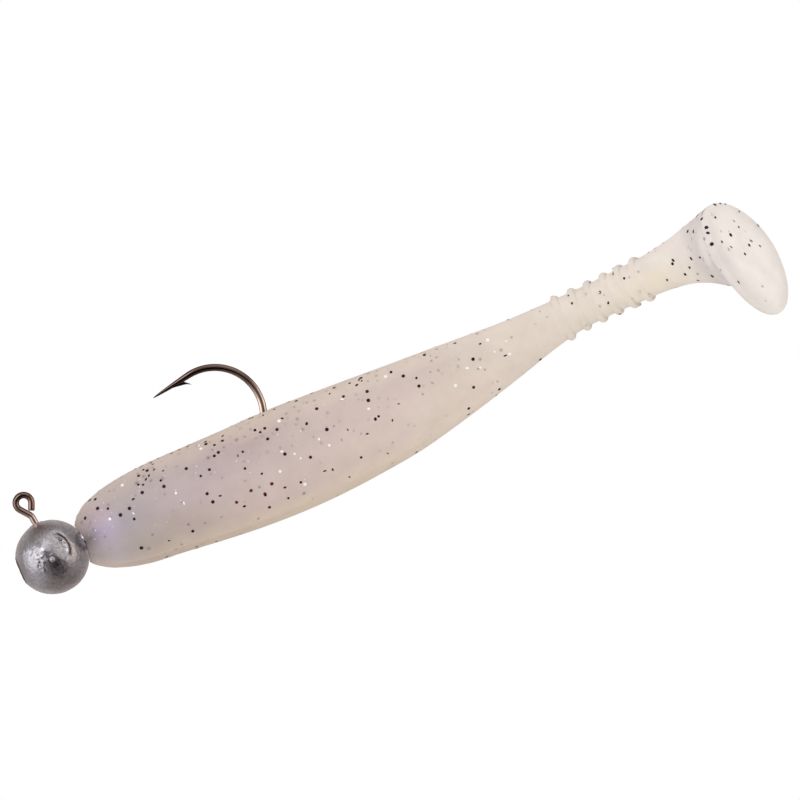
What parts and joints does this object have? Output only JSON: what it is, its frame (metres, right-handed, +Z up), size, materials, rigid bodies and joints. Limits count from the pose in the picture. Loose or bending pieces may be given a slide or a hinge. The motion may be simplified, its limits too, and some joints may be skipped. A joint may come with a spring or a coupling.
{
  "type": "swimbait",
  "caption": "Soft-plastic paddle-tail swimbait rigged on a round lead jig head, its hook leaving the back and its ribbed tail stem bending to a broad oval paddle.",
  "frame": {"origin": "centre of the hook's eye, where the line is tied", "axes": "+X along the bait from the head to the tail, +Z up (the side that the hook point leaves), +Y to the bait's left as it swims"},
  "size_m": [0.1121, 0.0247, 0.025],
  "materials": {
    "lead": "dull cast lead, slightly polished and pitted",
    "hook_wire": "dark bronze-black lacquered steel wire, glossy",
    "soft_plastic": "milky translucent pinkish-lilac soft plastic with black, silver and red flakes",
    "soft_plastic_tail": "milky translucent cream soft plastic with black flakes"
  },
  "bodies": {
    "head_and_front": {"lead_head": "lead", "jig_hook": "hook_wire", "body_front": "soft_plastic"},
    "middle": {"body_middle": "soft_plastic"},
    "rear": {"body_rear": "soft_plastic"},
    "rib_1": {"tail_rib_1": "soft_plastic_tail"},
    "rib_2": {"tail_rib_2": "soft_plastic_tail"},
    "rib_3": {"tail_rib_3": "soft_plastic_tail"},
    "rib_4": {"tail_rib_4": "soft_plastic_tail"},
    "rib_5": {"tail_rib_5": "soft_plastic_tail"},
    "rib_6": {"tail_rib_6": "soft_plastic_tail"},
    "paddle": {"tail_paddle": "soft_plastic_tail"}
  },
  "joints": [
    {"name": "body_sway_front", "type": "hinge", "parent": "head_and_front", "child": "middle", "pos_m": [0.04367, 0, -0.00834], "axis": [0, 0, 1], "range_deg": [-6, 6], "stiffness_Nm_per_rad": 0.02},
    {"name": "body_sway_rear", "type": "hinge", "parent": "middle", "child": "rear", "pos_m": [0.05767, 0, -0.00834], "axis": [0, 0, 1], "range_deg": [-6, 6], "stiffness_Nm_per_rad": 0.02},
    {"name": "tail_kick_1", "type": "hinge", "parent": "rear", "child": "rib_1", "pos_m": [0.07632, 0, -0.00638], "axis": [0, 0, 1], "range_deg": [-2.5, 19.5], "stiffness_Nm_per_rad": 0.004},
    {"name": "tail_lift_1", "type": "hinge", "parent": "rib_1", "child": "rib_2", "pos_m": [0.07879, -0.00036, -0.0061], "axis": [0.1435, 0.9897, 0], "range_deg": [-6, 6], "stiffness_Nm_per_rad": 0.004},
    {"name": "tail_kick_2", "type": "hinge", "parent": "rib_2", "child": "rib_3", "pos_m": [0.08127, -0.00072, -0.00598], "axis": [0, 0, 1], "range_deg": [-2.5, 19.5], "stiffness_Nm_per_rad": 0.004},
    {"name": "tail_lift_2", "type": "hinge", "parent": "rib_3", "child": "rib_4", "pos_m": [0.08367, -0.00143, -0.00585], "axis": [0.284, 0.9588, 0], "range_deg": [-6, 6], "stiffness_Nm_per_rad": 0.004},
    {"name": "tail_kick_3", "type": "hinge", "parent": "rib_4", "child": "rib_5", "pos_m": [0.08606, -0.00214, -0.00577], "axis": [0, 0, 1], "range_deg": [-2.5, 19.5], "stiffness_Nm_per_rad": 0.004},
    {"name": "tail_lift_3", "type": "hinge", "parent": "rib_5", "child": "rib_6", "pos_m": [0.08833, -0.00318, -0.00569], "axis": [0.4187, 0.9081, 0], "range_deg": [-6, 6], "stiffness_Nm_per_rad": 0.004},
    {"name": "tail_kick_4", "type": "hinge", "parent": "rib_6", "child": "paddle", "pos_m": [0.0906, -0.00423, -0.00562], "axis": [0, 0, 1], "range_deg": [-2.5, 19.5], "stiffness_Nm_per_rad": 0.004}
  ],
  "couplings": [
    {"joint": "body_sway_rear", "follows": "body_sway_front", "ratio": 1},
    {"joint": "tail_kick_2", "follows": "tail_kick_1", "ratio": 1},
    {"joint": "tail_kick_3", "follows": "tail_kick_1", "ratio": 1},
    {"joint": "tail_kick_4", "follows": "tail_kick_1", "ratio": 1},
    {"joint": "tail_lift_2", "follows": "tail_lift_1", "ratio": 1},
    {"joint": "tail_lift_3", "follows": "tail_lift_1", "ratio": 1}
  ]
}
